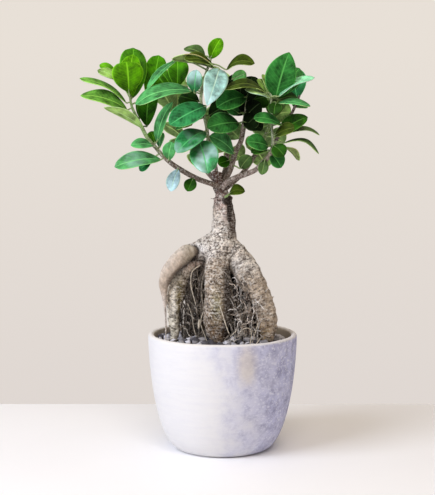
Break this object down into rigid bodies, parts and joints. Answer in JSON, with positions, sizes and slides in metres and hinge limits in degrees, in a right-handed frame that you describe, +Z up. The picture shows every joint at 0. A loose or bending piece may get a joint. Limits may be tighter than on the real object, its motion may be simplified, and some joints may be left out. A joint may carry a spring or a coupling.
{
  "type": "potted ficus ginseng bonsai",
  "caption": "Small bonsai fig with a swollen trunk on thick aerial roots, leafy stems on top, standing in soil and gravel in a round cement pot with a flat foot.",
  "frame": {"origin": "centre of the pot's flat underside", "axes": "+Z up along the pot's axis, the plant's front faces -Y and its long leafy branch reaches towards -X"},
  "size_m": [0.2049, 0.1332, 0.3544],
  "materials": {
    "cement": "matte",
    "soil": "matte",
    "gravel": "matte",
    "bark": "matte",
    "foliage": "satin"
  },
  "bodies": {
    "root": {"pot": "cement", "soil": "soil", "gravel": "gravel", "trunk": "bark", "left_branch": "foliage", "centre_left_stem": "foliage", "centre_right_branch": "foliage", "right_branch": "foliage", "right_back_twig": "foliage", "back_left_branch": "foliage", "back_centre_branch": "foliage", "back_right_branch": "foliage", "stem_sprout": "foliage"}
  },
  "joints": []
}
